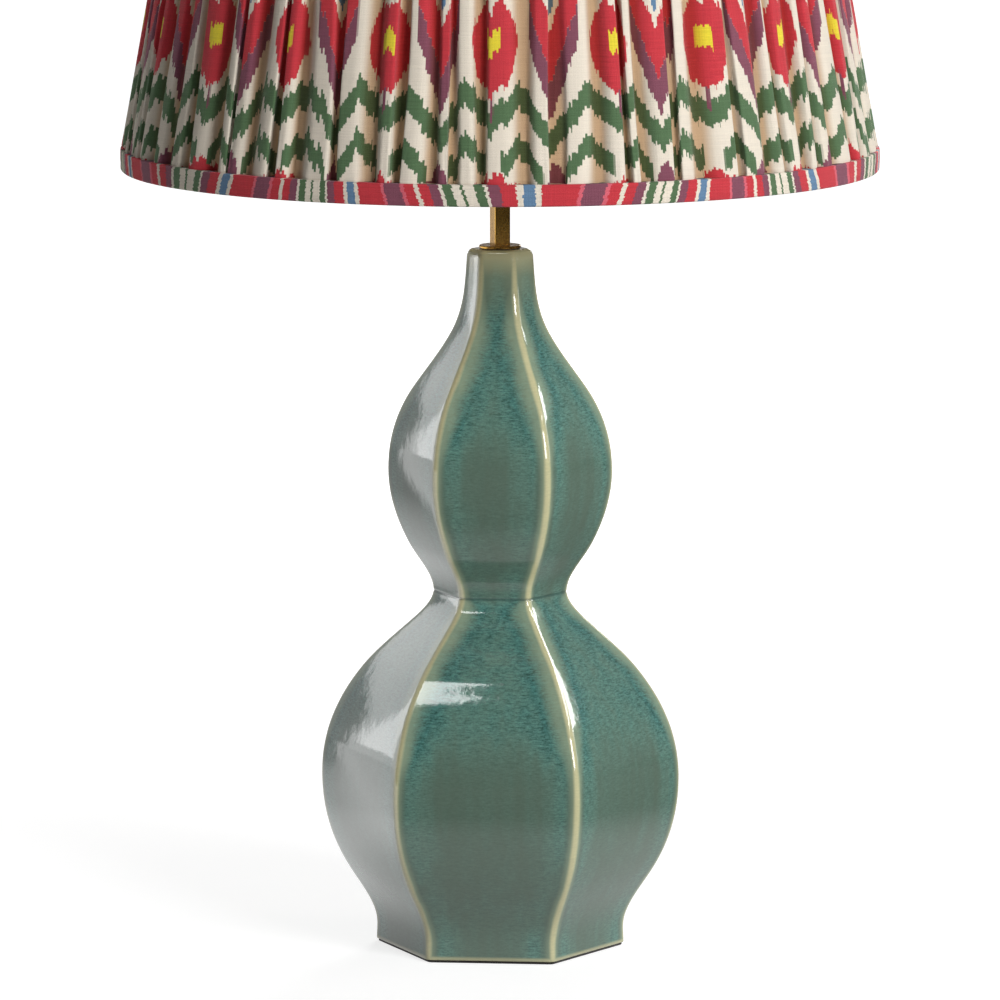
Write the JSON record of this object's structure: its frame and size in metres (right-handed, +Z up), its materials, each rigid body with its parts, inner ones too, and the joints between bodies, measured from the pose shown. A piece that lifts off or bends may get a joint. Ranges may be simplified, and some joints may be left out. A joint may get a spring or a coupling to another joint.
{
  "type": "table lamp",
  "caption": "Table lamp with a six-sided double gourd body in crackled celadon glaze, a square brass stem and a gathered empire shade that swivels and tilts.",
  "frame": {"origin": "on the table, under the middle of the foot", "axes": "+Z up along the lamp's axis, -Y towards the viewer and the flat front side of the gourd, +X to the viewer's right along two ridges and the shade's tilt pivots"},
  "size_m": [0.44, 0.44, 0.738],
  "materials": {
    "celadon_glaze": "glossy crackle glaze",
    "black_rubber": "matt",
    "black_felt": "felt",
    "fibreboard": "raw",
    "zinc_steel": "zinc plated",
    "fibre_seal": "matt",
    "aged_brass": "aged",
    "holder_brass": "satin",
    "moulded_insert": "moulded",
    "contact_brass": "bright",
    "spring_steel": "drawn wire",
    "white_enamel": "enamel",
    "cotton_lining": "plain cotton",
    "ikat_linen": "slub linen",
    "ikat_binding": "slub linen",
    "nickel_cap": "satin",
    "black_vitrite": "gloss",
    "solder": "solder",
    "bulb_white": "satin",
    "opal_diffuser": "opal"
  },
  "bodies": {
    "lamp_base": {"ceramic_body": "celadon_glaze", "cable_grommet": "black_rubber", "base_felt": "black_felt", "base_board": "fibreboard", "base_washer": "zinc_steel", "base_nut": "zinc_steel", "tie_rod": "zinc_steel", "neck_seal": "fibre_seal", "neck_disc": "aged_brass", "stem_sleeve": "aged_brass", "holder_cap": "holder_brass", "holder_grub_screw": "zinc_steel", "holder_insert": "moulded_insert", "terminal_screws": "contact_brass", "plunger_springs": "spring_steel", "holder_barrel": "holder_brass", "holder_skirt": "holder_brass"},
    "collar": {"shade_ring": "holder_brass"},
    "gimbal": {"gimbal_ring": "white_enamel", "gimbal_arms": "white_enamel", "pivot_caps": "white_enamel"},
    "shade": {"pivot_brackets": "white_enamel", "frame_bottom_ring": "white_enamel", "frame_top_ring": "white_enamel", "frame_struts": "white_enamel", "shade_lining": "cotton_lining", "shade_cover": "ikat_linen", "bottom_binding": "ikat_binding", "top_binding": "ikat_binding"},
    "plungers": {"contact_plungers": "contact_brass"},
    "bulb": {"bulb_cap": "nickel_cap", "bulb_pins": "contact_brass", "bulb_insulator": "black_vitrite", "bulb_contacts": "solder", "bulb_housing": "bulb_white", "bulb_diffuser": "opal_diffuser"}
  },
  "joints": [
    {"name": "collar_turn", "type": "hinge", "parent": "lamp_base", "child": "collar", "pos_m": [0, 0, 0.458], "axis": [0, 0, 1], "range_deg": [0, 360]},
    {"name": "shade_swivel", "type": "hinge", "parent": "lamp_base", "child": "gimbal", "pos_m": [0, 0, 0.454], "axis": [0, 0, 1], "continuous": true},
    {"name": "shade_tilt", "type": "hinge", "parent": "gimbal", "child": "shade", "pos_m": [0, 0, 0.4685], "axis": [1, 0, 0], "range_deg": [-12, 12]},
    {"name": "bulb_push", "type": "slide", "parent": "lamp_base", "child": "plungers", "axis": [0, 0, 1], "range_m": [-0.0015, 0], "stiffness_N_per_m": 1500, "springref_m": 0.003, "deforming": ["plunger_springs"]},
    {"name": "bulb_turn", "type": "hinge", "parent": "plungers", "child": "bulb", "pos_m": [0, 0, 0.4615], "axis": [0, 0, 1], "range_deg": [0, 20]}
  ]
}
